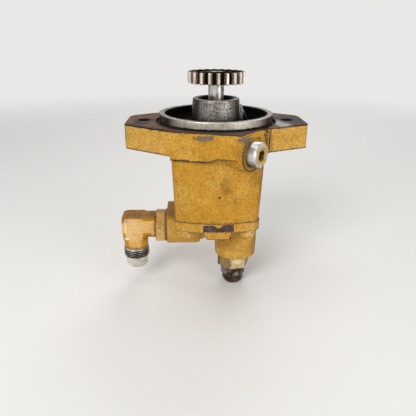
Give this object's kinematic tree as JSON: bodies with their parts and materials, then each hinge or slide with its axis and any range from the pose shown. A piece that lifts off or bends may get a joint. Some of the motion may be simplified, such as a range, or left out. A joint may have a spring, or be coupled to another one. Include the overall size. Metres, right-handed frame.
{
  "type": "gear fuel transfer pump",
  "caption": "Gear-type diesel fuel transfer pump with an eared pilot flange, geared drive shaft, rear cover, flare-end inlet elbow and outlet adapter, and relief valve.",
  "frame": {"origin": "centre of the pilot, in the plane of the mounting face", "axes": "+Z along the drive shaft towards its gear; the bolt ears lie along X with the outlet on the +X side and the inlet on the -X side; the idler gear lies towards -Y"},
  "size_m": [0.155, 0.1166, 0.185],
  "materials": {
    "housing": "worn yellow paint over cast iron, bare machined face",
    "rear_cover": "worn yellow paint over cast iron",
    "painted_fitting": "worn yellow paint over plated steel",
    "painted_bolt": "yellow paint over steel",
    "steel": "ground and oiled",
    "gear_steel": "hardened and oiled",
    "zinc": "zinc plated",
    "plated_fitting": "dull plating with paint remains",
    "bronze": "sintered bronze",
    "seal_rubber": "matt black"
  },
  "bodies": {
    "pump": {"housing": "housing", "rear_cover": "rear_cover", "cover_seal": "seal_rubber", "cover_bolts": "painted_bolt", "cover_washers": "painted_bolt", "cover_dowels": "steel", "outer_shaft_seal": "seal_rubber", "inner_shaft_seal": "seal_rubber", "front_drive_bushing": "bronze", "front_idler_bushing": "bronze", "rear_drive_bushing": "bronze", "rear_idler_bushing": "bronze", "inlet_elbow": "painted_fitting", "inlet_locknut": "painted_fitting", "inlet_backup_washer": "painted_fitting", "inlet_oring": "seal_rubber", "outlet_adapter": "plated_fitting", "outlet_oring": "seal_rubber", "relief_plug": "zinc", "relief_plug_oring": "seal_rubber", "relief_seat": "gear_steel", "relief_spring": "steel"},
    "rotor": {"drive_shaft": "steel", "drive_gear": "gear_steel", "drive_gear_key": "gear_steel", "driving_pump_gear": "gear_steel", "pump_gear_key": "gear_steel"},
    "idler": {"idler_shaft": "steel", "driven_pump_gear": "gear_steel"},
    "relief_valve": {"relief_piston": "steel"}
  },
  "joints": [
    {"name": "drive_turn", "type": "hinge", "parent": "pump", "child": "rotor", "pos_m": [0, 0, 0], "axis": [0, 0, 1], "continuous": true},
    {"name": "idler_turn", "type": "hinge", "parent": "pump", "child": "idler", "pos_m": [0, -0.0254, 0], "axis": [0, 0, 1], "continuous": true},
    {"name": "relief_slide", "type": "slide", "parent": "pump", "child": "relief_valve", "axis": [0.766, -0.6428, 0], "range_m": [0, 0.003], "stiffness_N_per_m": 3000, "springref_m": -0.004, "deforming": ["relief_spring"]}
  ],
  "couplings": [
    {"joint": "idler_turn", "follows": "drive_turn", "ratio": -1}
  ]
}
